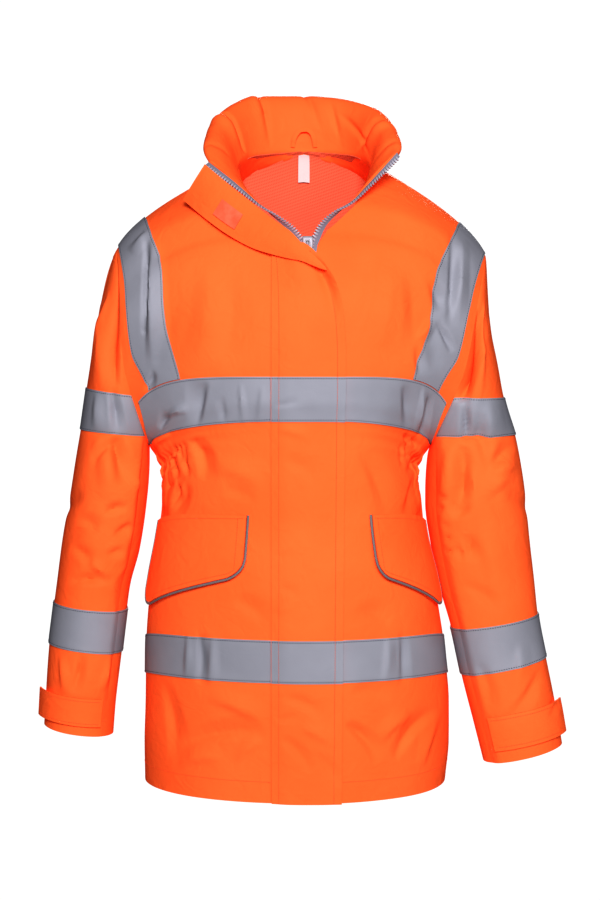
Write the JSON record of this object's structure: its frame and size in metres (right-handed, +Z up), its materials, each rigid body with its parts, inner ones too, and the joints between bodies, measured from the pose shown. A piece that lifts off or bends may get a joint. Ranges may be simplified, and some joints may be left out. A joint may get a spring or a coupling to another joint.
{
  "type": "hi-vis work jacket",
  "caption": "Orange high-visibility work jacket with reflective bands and braces, stand collar, storm flap, flapped pockets and a part-open zip, filled out as worn.",
  "frame": {"origin": "where the wearer's shoulders and the base of the neck hold the jacket: midway between the front and back, at the height of the shoulder seams' inner ends less 14 mm", "axes": "+X to the wearer's left, -Y to the front, +Z up"},
  "size_m": [0.6491, 0.249, 0.855],
  "materials": {
    "orange_shell": "coated woven polyester, soft sheen",
    "reflective_tape": "silver-grey retroreflective tape, satin",
    "hook_and_loop": "napped loop patch",
    "zip_fabric": "grey-lilac woven zip tape",
    "zip_metal": "bright die-cast metal",
    "grey_piping": "woven piping",
    "mesh_lining": "knitted mesh",
    "label_cloth": "white woven tape, bare"
  },
  "bodies": {
    "jacket": {"front_right": "orange_shell", "front_left": "orange_shell", "back": "orange_shell", "sleeve_upper_right": "orange_shell", "sleeve_upper_left": "orange_shell", "sleeve_under_right": "orange_shell", "sleeve_under_left": "orange_shell", "cuff_tab_right": "orange_shell", "cuff_tab_left": "orange_shell", "pocket_flap_right": "orange_shell", "pocket_flap_left": "orange_shell", "storm_flap": "orange_shell", "storm_flap_turned_top": "orange_shell", "collar": "orange_shell", "front_facing_right": "orange_shell", "front_facing_left": "orange_shell", "hang_loop": "orange_shell", "hip_band_front_right": "reflective_tape", "hip_band_front_left": "reflective_tape", "hip_band_back": "reflective_tape", "hip_band_flap": "reflective_tape", "chest_band_front_right": "reflective_tape", "chest_band_front_left": "reflective_tape", "chest_band_back": "reflective_tape", "chest_band_flap": "reflective_tape", "brace_front_right": "reflective_tape", "brace_back_right": "reflective_tape", "brace_front_left": "reflective_tape", "brace_back_left": "reflective_tape", "sleeve_band_lower_right": "reflective_tape", "sleeve_band_under_right": "reflective_tape", "sleeve_band_upper_right": "reflective_tape", "sleeve_band_lower_left": "reflective_tape", "sleeve_band_under_left": "reflective_tape", "sleeve_band_upper_left": "reflective_tape", "flap_hook_patch": "hook_and_loop", "zip_tape_right": "zip_fabric", "zip_tape_left": "zip_fabric", "zip_slider": "zip_metal", "pocket_piping_right": "grey_piping", "pocket_piping_left": "grey_piping", "neck_lining": "mesh_lining", "neck_label": "label_cloth"},
    "zip_pull": {"zip_pull_tab": "zip_metal"}
  },
  "joints": [
    {"name": "pull_tab_swing", "type": "hinge", "parent": "jacket", "child": "zip_pull", "pos_m": [0.017, -0.1017, -0.0842], "axis": [-1, 0, 0], "range_deg": [0, 14]}
  ]
}
